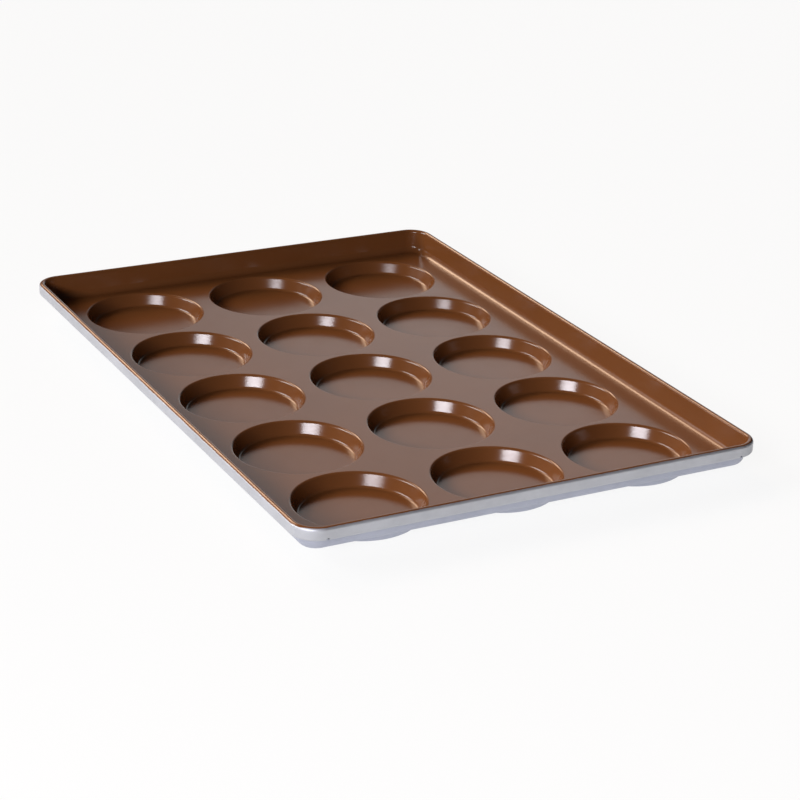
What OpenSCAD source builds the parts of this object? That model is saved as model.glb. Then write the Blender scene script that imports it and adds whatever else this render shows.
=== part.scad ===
// Hamburger bun pan: one sheet of glazed aluminised steel, drawn into a shallow
// tray with round cups in its deck and a folded band round its edge.
// The origin is under the middle of the pan, at the underside of the cups.

/* [Tray] */
// Length over the rim
pan_l = 660.4; // [650:0.2:800]
// Width over the rim
pan_w = 457.2; // [430:0.2:600]
// Height of the rim above the deck
tray_h = 23.5; // [20:0.5:40]
// Radius of the corners over the rim, seen from above
corner_r = 24; // [20:1:40]
// Lean of the walls out from upright, in degrees
wall_lean = 7.5; // [0:0.5:15]
// Radius inside the bend from the deck up into the wall
deck_bend_r = 7; // [4:0.5:9]

/* [Sheet] */
// Thickness of the sheet
sheet_t = 0.8; // [0.5:0.1:1.2]

/* [Rim] */
// Width of the rim across its rounded top
rim_w = 6.4; // [4.6:0.2:8]
// Height of the band that is folded down outside the wall
rim_h = 12; // [8:0.5:15]
// Radius inside the bend that tucks in the band's lower edge
tuck_r = 1.2; // [0.6:0.1:1.6]
// Gap left between the tucked-in edge and the wall
tuck_gap = 0.5; // [0.3:0.1:1.5]
// Width of the relief notches at the ends of the short sides
notch_w = 3; // [2:0.5:6]
// Height of the relief notches above the band's lower edge
notch_h = 2.6; // [2:0.2:5]

/* [Cups] */
// Cups across the width
cups_x = 3; // [1:1:3]
// Cups along the length
cups_y = 5; // [1:1:5]
// Spacing of the cups across the width
pitch_x = 136; // [122:1:150]
// Spacing of the cups along the length
pitch_y = 124.3; // [122:0.1:128]
// Depth of a cup below the deck
cup_depth = 12.7; // [9:0.1:30]
// Diameter of a cup where its wall would meet the deck
cup_d = 117; // [112:1:119]
// Diameter of a cup where its wall would meet its floor
cup_floor_d = 107; // [90:1:112]
// Radius on top of the lip that turns down into a cup
lip_r = 3; // [1.6:0.2:4]
// Radius inside the bend between a cup's wall and its floor
cup_bend_r = 3; // [1:0.2:5]

/* [Hidden] */
$fn = 96;
// The most that one flat step of a bend's section turns, in degrees
bend_step = 12;
// Where the two corner axes nearest a side lie, and the top face of the deck
corner_x = pan_w / 2 - corner_r;
corner_y = pan_l / 2 - corner_r;
deck_z = sheet_t + cup_depth;

// The wall: how far its bend turns, the bends' centreline radii and their throw
wall_turn = 90 - wall_lean;
deck_bend_mid = deck_bend_r + sheet_t / 2;
rim_mid = (rim_w - sheet_t) / 2;
wall_run = (tray_h - (deck_bend_mid + rim_mid) * (1 - cos(wall_turn))) / sin(wall_turn);
wall_reach = (deck_bend_mid + rim_mid) * sin(wall_turn)
    + wall_run * cos(wall_turn) + rim_w / 2;

// The band: its straight run, and the room for the edge that is tucked in below it
band_run = rim_h - rim_w / 2 - tuck_r - sheet_t;
wall_clear = rim_w / 2 + (rim_w / 2 - sheet_t) / cos(wall_lean)
    + (rim_h - rim_w / 2 - sheet_t) * tan(wall_lean);
tuck_run = wall_clear - sheet_t - tuck_r - tuck_gap;
notch_reach = wall_clear - tuck_gap / 2;

// A cup: the lean of its wall, how far its bends turn and where they begin
cup_lean = atan((cup_d - cup_floor_d) / 2 / cup_depth);
cup_turn = 90 - cup_lean;
lip_reach = cup_d / 2 + lip_r * tan(cup_turn / 2);
cup_flat = cup_floor_d / 2 - cup_bend_r * tan(cup_turn / 2);
lip_mid = lip_r - sheet_t / 2;
cup_bend_mid = cup_bend_r + sheet_t / 2;
cup_run = (cup_depth - (lip_mid + cup_bend_mid) * (1 - cos(cup_turn))) / sin(cup_turn);

function along(a) = [cos(a), sin(a)];
function backward(points) = [for (k = [len(points) - 1:-1:0]) points[k]];

// One face of a folded sheet, `offset_by` to the left of its centreline. The chain holds
// [straight run, turn, centreline radius] for each bend, and a positive turn is to the left.
function face_points(chain, offset_by, at, heading = 0, i = 0) =
    i == len(chain) ? [] :
    let (
        run = chain[i][0],
        turn = chain[i][1],
        mid_r = chain[i][2],
        hand = turn < 0 ? -1 : 1,
        centre = at + run * along(heading) + hand * mid_r * along(heading + 90),
        face_r = mid_r - hand * offset_by,
        steps = ceil(abs(turn) / bend_step),
        first = run > 0 ? 0 : 1
    )
    concat(
        i > 0 ? [] : [at + offset_by * along(heading + 90)],
        [for (k = [first:steps])
            centre + face_r * along(heading + turn * k / max(steps, 1) - hand * 90)],
        face_points(chain, offset_by, centre + mid_r * along(heading + turn - hand * 90),
            heading + turn, i + 1)
    );

// The sheet's section along a chain of bends whose centreline starts at `at` along +X
module folded_sheet(chain, at) {
    polygon(concat(
        face_points(chain, -sheet_t / 2, at),
        backward(face_points(chain, sheet_t / 2, at))
    ));
}

// From a corner axis outward: deck, wall, rounded rim, band and tucked-in edge
module tray_section() {
    folded_sheet([
        [corner_r - wall_reach, wall_turn, deck_bend_mid],
        [wall_run, -wall_turn, rim_mid],
        [0, -90, rim_mid],
        [band_run, -90, tuck_r + sheet_t / 2],
        [tuck_run, 0, 0]
    ], [0, deck_z - sheet_t / 2]);
}

// From a cup's axis outward: floor, wall and the lip that levels out into the deck
module cup_section() {
    folded_sheet([
        [cup_flat, cup_turn, cup_bend_mid],
        [cup_run, -cup_turn, lip_mid]
    ], [0, sheet_t / 2]);
}

// One straight side of the tray, lying along Y with its outside towards +X
module tray_side(length) {
    translate([0, length / 2, 0])
        rotate([90, 0, 0])
            linear_extrude(length)
                tray_section();
}

module tray_corner() {
    rotate_extrude(angle = 90)
        tray_section();
}

// A long side, the corner at its far end, a short side and the corner after that
module tray_half() {
    translate([corner_x, 0, 0])
        tray_side(2 * corner_y);
    translate([corner_x, corner_y, 0])
        tray_corner();
    translate([0, corner_y, 0])
        rotate(90)
            tray_side(2 * corner_x);
    translate([-corner_x, corner_y, 0])
        rotate(90)
            tray_corner();
}

module tray() {
    translate([-corner_x, -corner_y, deck_z - sheet_t])
        cube([2 * corner_x, 2 * corner_y, sheet_t]);
    tray_half();
    rotate(180)
        tray_half();
}

// A slot with a round top, cut up through the band's lower edge and its tuck
module relief_notch() {
    foot_z = deck_z + tray_h - rim_h;
    rotate([90, 0, 0])
        translate([0, 0, -notch_reach]) {
            translate([0, foot_z + notch_h - notch_w / 2, 0])
                cylinder(h = 2 * notch_reach, d = notch_w);
            translate([-notch_w / 2, foot_z - sheet_t, 0])
                cube([notch_w, notch_h - notch_w / 2 + sheet_t, 2 * notch_reach]);
        }
}

module at_each_cup() {
    for (i = [0:cups_x - 1], j = [0:cups_y - 1])
        translate([(i - (cups_x - 1) / 2) * pitch_x, (j - (cups_y - 1) / 2) * pitch_y, 0])
            children();
}

module pan() {
    color("rosybrown") {
        difference() {
            tray();
            at_each_cup()
                translate([0, 0, deck_z - 2 * sheet_t])
                    cylinder(h = 3 * sheet_t, r = lip_reach);
            for (sx = [-1, 1], sy = [-1, 1])
                translate([sx * corner_x, sy * pan_l / 2, 0])
                    relief_notch();
        }
        at_each_cup()
            rotate_extrude()
                cup_section();
    }
}

pan();
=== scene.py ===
"""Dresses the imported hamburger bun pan: a smooth sheet of glazed steel, a floor, lights and the camera.
Lengths are in millimetres until a mesh is made, and angles in degrees. The row frame has +X across,
+Y along and +Z up, and the lights' azimuths are measured from +Y towards +X."""
import math
from collections import namedtuple

import bpy
from mathutils import Matrix, Vector
from mathutils.geometry import delaunay_2d_cdt


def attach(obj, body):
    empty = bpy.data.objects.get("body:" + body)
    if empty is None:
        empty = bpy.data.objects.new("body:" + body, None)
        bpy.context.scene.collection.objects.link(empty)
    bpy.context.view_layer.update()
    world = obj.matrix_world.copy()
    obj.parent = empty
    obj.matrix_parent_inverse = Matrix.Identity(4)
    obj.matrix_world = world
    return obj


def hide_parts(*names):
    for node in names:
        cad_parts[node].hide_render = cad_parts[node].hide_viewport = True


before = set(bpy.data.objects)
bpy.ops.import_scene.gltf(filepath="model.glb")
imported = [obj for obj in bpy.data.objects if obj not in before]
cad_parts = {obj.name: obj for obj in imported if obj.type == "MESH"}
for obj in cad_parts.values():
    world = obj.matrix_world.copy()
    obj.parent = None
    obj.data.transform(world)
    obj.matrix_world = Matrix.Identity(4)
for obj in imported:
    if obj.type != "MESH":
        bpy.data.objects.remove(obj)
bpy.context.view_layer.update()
MM = 0.001

# Sizes of the pan, as in the part
PAN_L = 660.4
PAN_W = 457.2
TRAY_H = 23.5
CORNER_R = 24.0
WALL_LEAN = 7.5
DECK_BEND_R = 7.0
SHEET_T = 0.8
RIM_W = 6.4
RIM_H = 12.0
TUCK_R = 1.2
TUCK_GAP = 0.5
NOTCH_W = 3.0
NOTCH_H = 2.6
CUPS_X = 3
CUPS_Y = 5
PITCH_X = 136.0
PITCH_Y = 124.3
CUP_DEPTH = 12.7
CUP_D = 117.0
CUP_FLOOR_D = 107.0
LIP_R = 3.0
CUP_BEND_R = 3.0


def sind(a):
    return math.sin(math.radians(a))


def cosd(a):
    return math.cos(math.radians(a))


def tand(a):
    return math.tan(math.radians(a))


# Sizes that follow from those
CORNER_X = PAN_W / 2 - CORNER_R
CORNER_Y = PAN_L / 2 - CORNER_R
DECK_Z = SHEET_T + CUP_DEPTH
WALL_TURN = 90 - WALL_LEAN
DECK_BEND_MID = DECK_BEND_R + SHEET_T / 2
RIM_MID = (RIM_W - SHEET_T) / 2
RIM_Z = DECK_Z + TRAY_H - RIM_W / 2
WALL_RUN = (TRAY_H - (DECK_BEND_MID + RIM_MID) * (1 - cosd(WALL_TURN))) / sind(WALL_TURN)
WALL_REACH = (DECK_BEND_MID + RIM_MID) * sind(WALL_TURN) + WALL_RUN * cosd(WALL_TURN) + RIM_W / 2
DECK_FLAT = CORNER_R - WALL_REACH
BAND_RUN = RIM_H - RIM_W / 2 - TUCK_R - SHEET_T
WALL_CLEAR = (RIM_W / 2 + (RIM_W / 2 - SHEET_T) / cosd(WALL_LEAN)
              + (RIM_H - RIM_W / 2 - SHEET_T) * tand(WALL_LEAN))
TUCK_RUN = WALL_CLEAR - SHEET_T - TUCK_R - TUCK_GAP
TUCK_CENTRE = DECK_Z + TRAY_H - RIM_H + TUCK_R + SHEET_T
NOTCH_TOP = DECK_Z + TRAY_H - RIM_H + NOTCH_H
NOTCH_SIDE = NOTCH_TOP - NOTCH_W / 2
CUP_LEAN = math.degrees(math.atan((CUP_D - CUP_FLOOR_D) / 2 / CUP_DEPTH))
CUP_TURN = 90 - CUP_LEAN
LIP_REACH = CUP_D / 2 + LIP_R * tand(CUP_TURN / 2)
CUP_FLAT = CUP_FLOOR_D / 2 - CUP_BEND_R * tand(CUP_TURN / 2)
LIP_MID = LIP_R - SHEET_T / 2
CUP_BEND_MID = CUP_BEND_R + SHEET_T / 2
CUP_RUN = (CUP_DEPTH - (LIP_MID + CUP_BEND_MID) * (1 - cosd(CUP_TURN))) / sind(CUP_TURN)
CUP_CENTRES = [((i - (CUPS_X - 1) / 2) * PITCH_X, (j - (CUPS_Y - 1) / 2) * PITCH_Y)
               for i in range(CUPS_X) for j in range(CUPS_Y)]

# How finely the sheet is divided: round a corner, along a long and a short side, across a notch,
# round a cup, and the most that one step of a bend turns
CORNER_STEPS = 20
LONG_STEPS = 14
SHORT_STEPS = 10
NOTCH_STEPS = 8
CUP_STEPS = 96
TRAY_BEND_STEP = 5.0
CUP_BEND_STEP = 8.0
CUP_WAYS = [(cosd(360 * k / CUP_STEPS), sind(360 * k / CUP_STEPS)) for k in range(CUP_STEPS)]
# Points on the same step of this grid become one, and what differs by less than SLACK is the same
WELDS_PER_MM = 2000
SLACK = 0.001
ROUNDING = 1e-6

# The pan's material slots, and the headings of the section where they change: the wall climbs above
# 0, the rim's top is level at 0 and the band hangs at -90
GLAZE, STEEL, GLAZE_END, SHADED_BACK = range(4)
RIM_TOP = 0
GLAZE_END_FROM = -30
BAND = -90

# Where the glaze ends, as an angle above level round the outside of the rim, on the sides and on the
# front edge, and how far that line wanders and fades
GLAZE_EDGE = 35.0
GLAZE_FRONT_EDGE = 55.0
GLAZE_WANDER = 0.35
GLAZE_FADE = 0.15

# The darkest and the lightest colour of each coat, its least and its greatest roughness, and the
# depth of all bumps in metres
GLAZE_COLOURS = ((0.143, 0.049, 0.0140, 1), (0.165, 0.057, 0.0165, 1))
STEEL_COLOURS = ((0.49, 0.50, 0.53, 1), (0.60, 0.61, 0.65, 1))
# The back coat's colours are darker and bluer than the steel's: painted shade and a painted lavender
# reflection on the lower walls and the underside.
BACK_SHADE_COLOURS = ((0.43, 0.45, 0.53, 1), (0.52, 0.54, 0.63, 1))
GLAZE_ROUGHNESS = (0.17, 0.21)
STEEL_ROUGHNESS = (0.46, 0.58)
BUMP_DEPTH = 0.0003
# The values of a noise at which the lower and the upper end of those are reached
NOISE_LOW = 0.3
NOISE_HIGH = 0.7

# The floor: half its side in metres, and how much of its look is a plain white glow
FLOOR_HALF = 6
FLOOR_GREY = 0.86
FLOOR_GLOW = 0.9

# The studio's panels of light: the middle, half the width and half the height, and the width of the
# soft edge, all in degrees, and the colour times strength
Panel = namedtuple("Panel", "azimuth elevation half_width half_height soft colour")
KEY = Panel(-58, 30, 18, 9, 10, (12.0, 12.0, 12.0))
FILL = Panel(-30, 30, 14, 8, 10, (1.6, 1.3, 1.1))
WARM = Panel(-5, 36, 11, 10, 8, (11.0, 7.8, 5.4))
BACKDROP = Panel(33, 13, 12, 17, 20, (0.8, 0.8, 0.8))
AMBIENT = 0.03

# The softbox, an oval lamp: its place, its distance and size in metres, and its colour times strength
SOFTBOX_AZ = -130
SOFTBOX_EL = 20
SOFTBOX_DIST = 2.3
SOFTBOX_W = 1.25
SOFTBOX_H = 0.32
SOFTBOX_COLOUR = (26, 25.4, 27.2)

# The camera, from a fit to the rim, the cups and the fold lines in the photograph. At azimuth 0 it
# looks along +Y, and it is moved sideways and up from a place that faces the middle of the deck.
CAM_AZ = -29.18
CAM_EL = 22.82
CAM_ROLL = 2.32
CAM_DIST = 2190.63
CAM_SIDE = 67.50
CAM_RISE = -32.65
# Its focal length and the middle of its view in pixels, in a picture that is IMAGE pixels wide
CAM_FOCAL = 2250.80
CAM_CENTRE = (440.05, 410.0)
IMAGE = 800
# Its sensor's width in millimetres, and the nearest and farthest that it sees, in metres
SENSOR = 36.0
CAM_NEAR = 0.05
CAM_FAR = 50.0

# A row of the folded sheet's section, and a station at which that section stands: its axis, the way
# outward, and the height below which a notch cuts the band away there, or None
Row = namedtuple("Row", "x z normal_x normal_z heading")
Station = namedtuple("Station", "x y out_x out_y notch_top")


def add_object(name, data):
    made = bpy.data.objects.new(name, data)
    bpy.context.scene.collection.objects.link(made)
    return made


class Sheet:
    """Gathers polygons with their own normals, and welds them into one closed mesh. A corner of a
    polygon is a (point, normal) pair."""

    def __init__(self):
        self.points = []
        self.index = {}
        self.faces = []
        self.normals = []
        self.slots = []

    def vertex(self, point):
        key = tuple(round(c * WELDS_PER_MM) for c in point)
        if key not in self.index:
            self.index[key] = len(self.points)
            self.points.append(tuple(c * MM for c in point))
        return self.index[key]

    def face(self, corners, slot):
        """Adds a face whose corners may run either way round: its normals say which side is out."""
        ids = []
        kept = []
        for point, normal in corners:
            i = self.vertex(point)
            if i not in ids:
                ids.append(i)
                kept.append((point, normal))
        if len(ids) < 3:
            return
        first = kept[0][0]
        arms = [Vector([c - c0 for c, c0 in zip(point, first)]) for point, _ in kept]
        area = Vector((0, 0, 0))
        for k in range(2, len(arms)):
            area += arms[k - 1].cross(arms[k])
        outward = sum((Vector(normal) for _, normal in kept), Vector((0, 0, 0)))
        if area.dot(outward) < 0:
            ids.reverse()
            kept.reverse()
        self.faces.append(ids)
        self.normals.extend(normal for _, normal in kept)
        self.slots.append(slot)

    def mesh(self, name, materials):
        data = bpy.data.meshes.new(name)
        data.from_pydata(self.points, [], self.faces)
        for material in materials:
            data.materials.append(material)
        data.polygons.foreach_set("material_index", self.slots)
        data.polygons.foreach_set("use_smooth", [True] * len(self.faces))
        data.update()
        data.normals_split_custom_set(self.normals)
        return data


def fold(chain, level, step, stops=()):
    """Rows of the upper and the lower face of a folded sheet. Its centreline starts outward at the
    height level, and the chain holds (straight run, turn, centreline radius) for each bend, a
    positive turn being upward. A bend also gets rows at the headings in stops."""
    x = 0
    z = level
    heading = 0.0
    middle = [(x, z, heading)]
    for run, turn, mid_r in chain:
        if run > 0:
            x += run * cosd(heading)
            z += run * sind(heading)
            middle.append((x, z, heading))
        if turn:
            hand = 1 if turn > 0 else -1
            centre_x = x + hand * mid_r * cosd(heading + 90)
            centre_z = z + hand * mid_r * sind(heading + 90)
            count = max(1, math.ceil(abs(turn) / step - ROUNDING))
            angles = [heading + turn * k / count for k in range(1, count + 1)]
            angles += [a for a in stops if (a - heading) * hand > 0 and (heading + turn - a) * hand > 0]
            for a in sorted(angles, key=lambda a: a * hand):
                x = centre_x + mid_r * cosd(a - hand * 90)
                z = centre_z + mid_r * sind(a - hand * 90)
                middle.append((x, z, a))
            heading += turn

    def face(side):
        return [Row(px + side * SHEET_T / 2 * cosd(a + 90), pz + side * SHEET_T / 2 * sind(a + 90),
                    side * cosd(a + 90), side * sind(a + 90), a) for px, pz, a in middle]

    return face(1), face(-1)


def notch_stations(sx, sy, way, ends_corner):
    """Stations across a notch, half of it on the corner's arc and half on the short side."""
    stations = []
    for k in range(NOTCH_STEPS + 1):
        across = NOTCH_W / 2 * cosd(180 * k / NOTCH_STEPS)
        top = NOTCH_SIDE + math.sqrt(max(0.0, (NOTCH_W / 2) ** 2 - across ** 2))
        turn = math.degrees(math.asin(max(0.0, across) / CORNER_R))
        outward = way - turn if ends_corner else way + turn
        x = sx * CORNER_X + sx * min(0.0, across)
        stations.append(Station(x, sy * CORNER_Y, cosd(outward), sind(outward), top))
    return stations if ends_corner else stations[::-1]


def rim_path():
    """Stations round the pan: each corner, and the side that follows it. Every short side begins and
    ends with a notch."""
    stations = []
    signs = ((1, 1), (-1, 1), (-1, -1), (1, -1))
    for corner, (sx, sy) in enumerate(signs):
        start = 90 * corner
        before_short_side = corner % 2 == 0
        notch_way = start + 90 if before_short_side else start
        for k in range(CORNER_STEPS + 1):
            way = start + 90 * k / CORNER_STEPS
            if way == notch_way:
                stations += notch_stations(sx, sy, way, before_short_side)
            else:
                stations.append(Station(sx * CORNER_X, sy * CORNER_Y, cosd(way), sind(way), None))
        next_sx, next_sy = signs[(corner + 1) % 4]
        steps = SHORT_STEPS if before_short_side else LONG_STEPS
        for k in range(1, steps):
            share = k / steps
            x = CORNER_X * (sx + (next_sx - sx) * share)
            y = CORNER_Y * (sy + (next_sy - sy) * share)
            stations.append(Station(x, y, cosd(start + 90), sind(start + 90), None))
    return stations


def at_station(station, row):
    """The corner of the sheet where a row of the section meets a station."""
    point = (station.x + row.x * station.out_x, station.y + row.x * station.out_y, row.z)
    normal = (row.normal_x * station.out_x, row.normal_x * station.out_y, row.normal_z)
    return point, normal


def quad(a, b, rows, k):
    """The face between two stations and between row k and the next."""
    return [at_station(a, rows[k]), at_station(a, rows[k + 1]),
            at_station(b, rows[k + 1]), at_station(b, rows[k])]


def above_notch(corners, heights):
    """The part of a face above the notch's edge, and the points where that edge crosses the face.
    heights are the corners' heights above the edge."""
    kept = []
    crossings = []
    for k in range(len(corners)):
        (point_a, normal_a), height_a = corners[k - 1], heights[k - 1]
        (point_b, normal_b), height_b = corners[k], heights[k]
        if height_a * height_b < 0:
            share = height_a / (height_a - height_b)
            point = tuple(Vector(point_a).lerp(Vector(point_b), share))
            normal = tuple(Vector(normal_a).lerp(Vector(normal_b), share).normalized())
            kept.append((point, normal))
            crossings.append(point)
        if height_b >= 0:
            kept.append(corners[k])
        if height_b == 0:
            crossings.append(point_b)
    return kept, crossings


def add_notch_column(sheet, a, b, upper, lower, band):
    """The band and its tuck between two stations of a notch: what is left above the notch's edge,
    and the edge itself across the sheet's thickness."""
    edge = []
    for rows in (upper, lower):
        crossed = []
        for k in range(band, len(rows) - 1):
            corners = quad(a, b, rows, k)
            tops = (a.notch_top, a.notch_top, b.notch_top, b.notch_top)
            heights = [point[2] - top for (point, _), top in zip(corners, tops)]
            kept, crossings = above_notch(corners, heights)
            sheet.face(kept, STEEL)
            crossed += crossings
        crossed.sort(key=lambda point: point[2], reverse=rows is lower)
        edge += crossed
    centre_x = math.copysign(CORNER_X, a.x)
    sheet.face([(p, Vector((centre_x - p[0], 0, NOTCH_SIDE - p[2])).normalized()) for p in edge], STEEL)


def add_notch_side(sheet, station, upper, lower, inward):
    """The cut end of the bent sheet at one side of a notch."""
    section = [row for row in upper + lower[::-1]
               if row.heading < BAND + SLACK and row.z < NOTCH_SIDE + SLACK]
    sheet.face([(at_station(station, row)[0], (inward, 0, 0)) for row in section], STEEL)


def add_cut_edge(sheet, a, b, upper, lower):
    """The sheet's own edge, where its tuck ends."""
    edge = []
    for station, rows in ((a, (upper[-1], lower[-1])), (b, (lower[-1], upper[-1]))):
        for row in rows:
            edge.append((at_station(station, row)[0], (-station.out_x, -station.out_y, 0)))
    sheet.face(edge, STEEL)


def tray_slot(on_upper, heading):
    """The material of the tray at a heading of its section."""
    if on_upper and heading > GLAZE_END_FROM:
        return GLAZE
    if on_upper and heading > BAND:
        return GLAZE_END
    # The outside of the walls and the underside get the back coat, whose darker, bluer colour is painted
    # shade and reflection.
    if not on_upper and heading > RIM_TOP:
        return SHADED_BACK
    return STEEL


def add_tray(sheet, stations, upper, lower):
    """The bend up from the deck, the walls, the rim, the band and its tuck."""
    band = next(k for k, row in enumerate(upper) if row.heading < BAND + SLACK)
    count = len(stations)
    for s in range(count):
        a = stations[s]
        b = stations[(s + 1) % count]
        notched = a.notch_top is not None and b.notch_top is not None
        for rows in (upper, lower):
            for k in range(band if notched else len(rows) - 1):
                heading = (rows[k].heading + rows[k + 1].heading) / 2
                sheet.face(quad(a, b, rows, k), tray_slot(rows is upper, heading))
        if not notched:
            add_cut_edge(sheet, a, b, upper, lower)
            continue
        add_notch_column(sheet, a, b, upper, lower, band)
        inward = math.copysign(1, b.x + b.out_x - a.x - a.out_x)
        if stations[s - 1].notch_top is None:
            add_notch_side(sheet, a, upper, lower, inward)
        if stations[(s + 2) % count].notch_top is None:
            add_notch_side(sheet, b, upper, lower, -inward)


def add_deck(sheet, outline):
    """Both faces of the deck, from its outline to the cups' lips."""
    count = len(outline)
    points = list(outline)
    edges = [(k, (k + 1) % count) for k in range(count)]
    for x, y in CUP_CENTRES:
        base = len(points)
        points += [Vector((x + LIP_REACH * c, y + LIP_REACH * s)) for c, s in CUP_WAYS]
        edges += [(base + k, base + (k + 1) % CUP_STEPS) for k in range(CUP_STEPS)]
    flat, _, triangles, _, _, _ = delaunay_2d_cdt(points, edges, [], 0, ROUNDING)
    hole_r = LIP_REACH * cosd(180 / CUP_STEPS)
    for triangle in triangles:
        middle = sum((flat[i] for i in triangle), Vector((0, 0))) / len(triangle)
        if any((middle - Vector(centre)).length < hole_r for centre in CUP_CENTRES):
            continue
        for z, up, slot in ((DECK_Z, 1, GLAZE), (DECK_Z - SHEET_T, -1, SHADED_BACK)):
            sheet.face([((flat[i].x, flat[i].y, z), (0, 0, up)) for i in triangle], slot)


def add_cup(sheet, x, y, upper, lower):
    """One cup, its section revolved round its axis."""
    for k in range(CUP_STEPS):
        a = Station(x, y, *CUP_WAYS[k], None)
        b = Station(x, y, *CUP_WAYS[(k + 1) % CUP_STEPS], None)
        for rows, slot in ((upper, GLAZE), (lower, SHADED_BACK)):
            for r in range(len(rows) - 1):
                sheet.face(quad(a, b, rows, r), slot)


def build_pan(materials):
    """The whole pan as one closed mesh, with its materials in the order of their slots."""
    sheet = Sheet()
    stations = rim_path()
    # The tuck's bend gets rows at the height where the notch's straight sides end
    side_reach = TUCK_CENTRE - NOTCH_SIDE
    stops = [BAND - math.degrees(math.asin(side_reach / r)) for r in (TUCK_R, TUCK_R + SHEET_T)]
    upper, lower = fold([
        (DECK_FLAT, WALL_TURN, DECK_BEND_MID),
        (WALL_RUN, -WALL_TURN, RIM_MID),
        (0, -90, RIM_MID),
        (BAND_RUN, -90, TUCK_R + SHEET_T / 2),
        (TUCK_RUN, 0, 0),
    ], DECK_Z - SHEET_T / 2, TRAY_BEND_STEP, stops)
    # The first row lies on the corner's axis, inside the deck
    upper = upper[1:]
    lower = lower[1:]
    add_tray(sheet, stations, upper, lower)
    add_deck(sheet, [Vector(at_station(station, upper[0])[0][:2]) for station in stations])

    upper, lower = fold([
        (CUP_FLAT, CUP_TURN, CUP_BEND_MID),
        (CUP_RUN, -CUP_TURN, LIP_MID),
    ], SHEET_T / 2, CUP_BEND_STEP)
    for x, y in CUP_CENTRES:
        add_cup(sheet, x, y, upper, lower)
    return add_object("pan_sheet", sheet.mesh("pan_sheet", materials))


def node(tree, kind, **values):
    """A new node, with values for its inputs by name, a blank in a name written as _."""
    made = tree.nodes.new(kind)
    for name, value in values.items():
        made.inputs[name.replace("_", " ")].default_value = value
    return made


def maths(tree, operation, *values):
    made = tree.nodes.new("ShaderNodeMath")
    made.operation = operation
    for socket, value in zip(made.inputs, values):
        if isinstance(value, (int, float)):
            socket.default_value = value
        else:
            tree.links.new(value, socket)
    return made.outputs[0]


def smooth_step(tree, value, start, end, before=0.0, after=1.0):
    """One level before the start, another after the end, and a smooth step between."""
    made = node(tree, "ShaderNodeMapRange", From_Min=start, From_Max=end, To_Min=before, To_Max=after)
    made.interpolation_type = "SMOOTHSTEP"
    tree.links.new(value, made.inputs["Value"])
    return made.outputs[0]


def mixed(tree, share, first, second):
    made = tree.nodes.new("ShaderNodeMixShader")
    tree.links.new(share, made.inputs["Fac"])
    tree.links.new(first, made.inputs[1])
    tree.links.new(second, made.inputs[2])
    return made.outputs["Shader"]


def noise(tree, where, scale, detail, roughness):
    made = node(tree, "ShaderNodeTexNoise", Scale=scale, Detail=detail, Roughness=roughness)
    tree.links.new(where, made.inputs["Vector"])
    return made.outputs["Fac"]


def ramp(tree, value, low, high):
    """From low to high as a noise rises, both as colours."""
    made = tree.nodes.new("ShaderNodeValToRGB")
    first, last = made.color_ramp.elements
    first.position = NOISE_LOW
    first.color = low
    last.position = NOISE_HIGH
    last.color = high
    tree.links.new(value, made.inputs["Fac"])
    return made.outputs["Color"]


def grey(v):
    return (v, v, v, 1)


def coat(tree, colour, roughness, height, bump, **values):
    """A surface with a varied colour and roughness, and with bumps of the strength bump."""
    shader = node(tree, "ShaderNodeBsdfPrincipled", **values)
    bumps = node(tree, "ShaderNodeBump", Strength=bump, Distance=BUMP_DEPTH)
    tree.links.new(height, bumps.inputs["Height"])
    tree.links.new(colour, shader.inputs["Base Color"])
    tree.links.new(roughness, shader.inputs["Roughness"])
    tree.links.new(bumps.outputs["Normal"], shader.inputs["Normal"])
    return shader.outputs["BSDF"]


def glaze_shader(tree, where):
    """Brown enamel with a fine orange peel, a little cloudier in places."""
    cloud = noise(tree, where, scale=9.0, detail=4.0, roughness=0.55)
    fine = noise(tree, where, scale=60.0, detail=5.0, roughness=0.6)
    peel = noise(tree, where, scale=900.0, detail=2.0, roughness=0.5)
    return coat(tree, ramp(tree, cloud, *GLAZE_COLOURS), ramp(tree, fine, *map(grey, GLAZE_ROUGHNESS)),
                peel, bump=0.04, IOR=1.45)


def steel_shader(tree, where, colours=STEEL_COLOURS):
    """Dull aluminised steel, mottled by its coating."""
    cloud = noise(tree, where, scale=14.0, detail=5.0, roughness=0.6)
    fine = noise(tree, where, scale=160.0, detail=4.0, roughness=0.6)
    return coat(tree, ramp(tree, cloud, *colours), ramp(tree, fine, *map(grey, STEEL_ROUGHNESS)),
                fine, bump=0.08, Metallic=0.7)


def back_shade_shader(tree, where):
    """The same steel on the back of the walls and the deck, in darker, bluer colours: painted shade and a
    painted lavender reflection.
    """
    return steel_shader(tree, where, BACK_SHADE_COLOURS)


def glaze_end_shader(tree, where):
    """The outside of the rim, where the glaze runs out over the steel in an uneven line."""
    place = tree.nodes.new("ShaderNodeSeparateXYZ")
    tree.links.new(where, place.inputs[0])
    wander = noise(tree, where, scale=55.0, detail=3.0, roughness=0.6)
    height = maths(tree, "MULTIPLY_ADD", wander, 2.0 * GLAZE_WANDER * MM, place.outputs["Z"])
    lower_at_front = smooth_step(
        tree, place.outputs["Y"],
        -(PAN_L / 2 - RIM_W / 2) * MM, -(CORNER_Y + CORNER_R / 4) * MM,
        RIM_W / 2 * (sind(GLAZE_EDGE) - sind(GLAZE_FRONT_EDGE)) * MM, 0.0)
    edge_z = RIM_Z + RIM_W / 2 * sind(GLAZE_EDGE) + GLAZE_WANDER
    glazed = smooth_step(tree, maths(tree, "ADD", height, lower_at_front),
                         (edge_z - GLAZE_FADE) * MM, (edge_z + GLAZE_FADE) * MM)
    return mixed(tree, glazed, steel_shader(tree, where), glaze_shader(tree, where))


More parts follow.
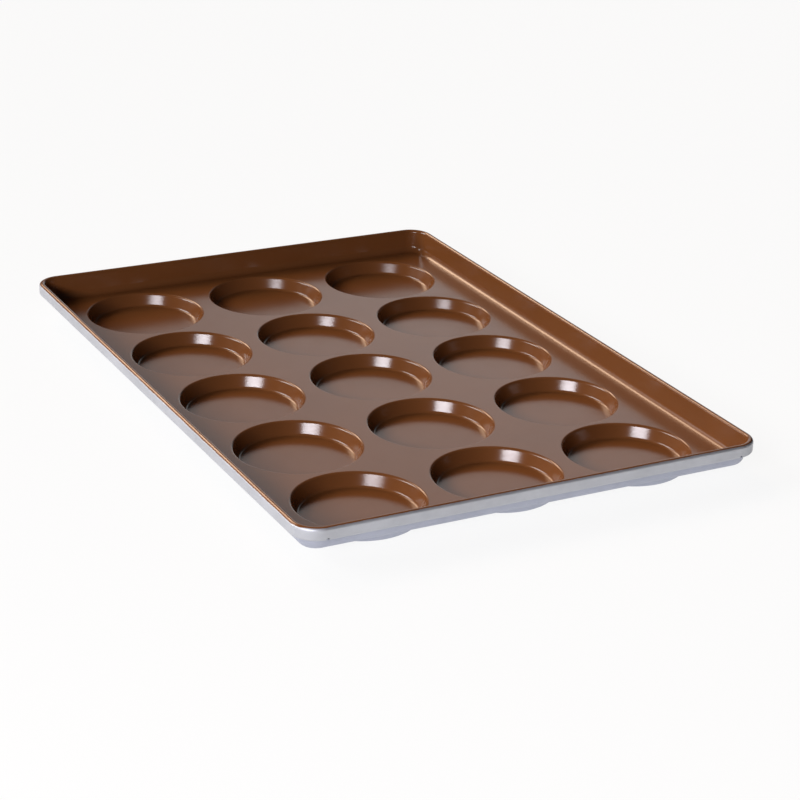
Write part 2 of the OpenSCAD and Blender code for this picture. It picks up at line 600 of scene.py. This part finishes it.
def new_material(name):
    """An empty material, its node tree and the socket for its surface."""
    material = bpy.data.materials.new(name)
    material.use_nodes = True
    tree = material.node_tree
    tree.nodes.clear()
    return material, tree, tree.nodes.new("ShaderNodeOutputMaterial").inputs["Surface"]


def coated_material(name, shader):
    """A material whose shader follows the place on the object."""
    material, tree, surface = new_material(name)
    where = tree.nodes.new("ShaderNodeTexCoord").outputs["Object"]
    tree.links.new(shader(tree, where), surface)
    return material


def seen_directly(tree):
    """1 for the rays by which the camera, a polished metal or glass sees a surface, 0 for other light."""
    path = tree.nodes.new("ShaderNodeLightPath")
    any_of = path.outputs["Is Camera Ray"]
    for name in ("Is Glossy Ray", "Is Transmission Ray"):
        any_of = maths(tree, "MAXIMUM", any_of, path.outputs[name])
    return any_of


def make_floor():
    """A pale floor that looks nearly white and keeps a soft share of the pan's shadow."""
    material, tree, surface = new_material("pale_floor")
    diffuse = node(tree, "ShaderNodeBsdfDiffuse", Color=grey(FLOOR_GREY))
    glow = node(tree, "ShaderNodeEmission", Color=grey(1), Strength=1.0)
    share = maths(tree, "MULTIPLY", seen_directly(tree), FLOOR_GLOW)
    tree.links.new(mixed(tree, share, diffuse.outputs["BSDF"], glow.outputs["Emission"]), surface)
    data = bpy.data.meshes.new("floor")
    corners = [(FLOOR_HALF * sx, FLOOR_HALF * sy, 0) for sx, sy in ((-1, -1), (1, -1), (1, 1), (-1, 1))]
    data.from_pydata(corners, [], [(0, 1, 2, 3)])
    data.materials.append(material)
    return add_object("floor", data)


def panel_mask(tree, azimuth, elevation, panel):
    """1 on a panel of the studio's wall, falling smoothly to 0 over its soft edge."""
    def within(distance, half):
        return smooth_step(tree, distance, half - panel.soft / 2, half + panel.soft / 2, 1.0, 0.0)

    turned = maths(tree, "WRAP", maths(tree, "SUBTRACT", azimuth, panel.azimuth), 180.0, -180.0)
    raised = maths(tree, "SUBTRACT", elevation, panel.elevation)
    return maths(tree, "MULTIPLY", within(maths(tree, "ABSOLUTE", turned), panel.half_width),
                 within(maths(tree, "ABSOLUTE", raised), panel.half_height))


def make_world():
    """A dark studio with large soft panels of light and a white backdrop behind the pan."""
    world = bpy.data.worlds.new("studio")
    bpy.context.scene.world = world
    world.use_nodes = True
    tree = world.node_tree
    tree.nodes.clear()
    link = tree.links.new
    out = tree.nodes.new("ShaderNodeOutputWorld")
    way = tree.nodes.new("ShaderNodeSeparateXYZ")
    link(tree.nodes.new("ShaderNodeTexCoord").outputs["Generated"], way.inputs[0])
    azimuth = maths(tree, "MULTIPLY", maths(tree, "ARCTAN2", way.outputs["X"], way.outputs["Y"]),
                    180 / math.pi)
    elevation = maths(tree, "MULTIPLY", maths(tree, "ARCSINE", way.outputs["Z"]), 180 / math.pi)
    level = None
    for panel in (KEY, FILL, WARM, BACKDROP):
        added = tree.nodes.new("ShaderNodeVectorMath")
        added.operation = "MULTIPLY_ADD"
        link(panel_mask(tree, azimuth, elevation, panel), added.inputs[0])
        added.inputs[1].default_value = panel.colour
        if level:
            link(level, added.inputs[2])
        else:
            added.inputs[2].default_value = (AMBIENT, AMBIENT, AMBIENT)
        level = added.outputs[0]
    studio = tree.nodes.new("ShaderNodeBackground")
    link(level, studio.inputs["Color"])
    white = node(tree, "ShaderNodeBackground", Color=grey(1), Strength=1.0)
    path = tree.nodes.new("ShaderNodeLightPath")
    mirrored = maths(tree, "MULTIPLY", seen_directly(tree), panel_mask(tree, azimuth, elevation, BACKDROP))
    share = maths(tree, "MAXIMUM", path.outputs["Is Camera Ray"], mirrored)
    link(mixed(tree, share, studio.outputs["Background"], white.outputs["Background"]),
         out.inputs["Surface"])


def make_softbox():
    """A flat oval lamp that faces the pan."""
    way = Vector((sind(SOFTBOX_AZ) * cosd(SOFTBOX_EL), cosd(SOFTBOX_AZ) * cosd(SOFTBOX_EL),
                  sind(SOFTBOX_EL)))
    brightest = max(SOFTBOX_COLOUR)
    data = bpy.data.lights.new("softbox", "AREA")
    data.shape = "ELLIPSE"
    data.size = SOFTBOX_W
    data.size_y = SOFTBOX_H
    data.color = [c / brightest for c in SOFTBOX_COLOUR]
    data.energy = math.pi * SOFTBOX_W * SOFTBOX_H * brightest
    lamp = add_object("softbox", data)
    turn = way.to_track_quat("Z", "Y").to_matrix().to_4x4()
    lamp.matrix_world = Matrix.Translation(SOFTBOX_DIST * way) @ turn


def make_camera():
    back = Vector((sind(CAM_AZ) * cosd(CAM_EL), -cosd(CAM_AZ) * cosd(CAM_EL), sind(CAM_EL)))
    level_right = (-back).cross(Vector((0, 0, 1))).normalized()
    level_up = level_right.cross(-back).normalized()
    right = level_right * cosd(CAM_ROLL) + level_up * sind(CAM_ROLL)
    up = level_up * cosd(CAM_ROLL) - level_right * sind(CAM_ROLL)
    eye = back * CAM_DIST + right * CAM_SIDE + up * CAM_RISE + Vector((0, 0, DECK_Z))
    data = bpy.data.cameras.new("camera")
    data.sensor_fit = "HORIZONTAL"
    data.sensor_width = SENSOR
    data.lens = CAM_FOCAL / IMAGE * SENSOR
    data.shift_x = (IMAGE / 2 - CAM_CENTRE[0]) / IMAGE
    data.shift_y = (CAM_CENTRE[1] - IMAGE / 2) / IMAGE
    data.clip_start = CAM_NEAR
    data.clip_end = CAM_FAR
    camera = add_object("camera", data)
    camera.matrix_world = Matrix.Translation(eye * MM) @ Matrix((right, up, back)).transposed().to_4x4()
    bpy.context.scene.camera = camera


pan = build_pan([
    coated_material("brown_glaze", glaze_shader),
    coated_material("aluminised_steel", steel_shader),
    coated_material("glaze_end", glaze_end_shader),
    # The back coat's colour is painted shade and a painted lavender reflection.
    coated_material("steel_back_painted_shade", back_shade_shader),
])
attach(pan, "root")
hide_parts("pan")

floor = make_floor()

make_world()
make_softbox()
make_camera()

view = bpy.context.scene.view_settings
view.view_transform = "Standard"
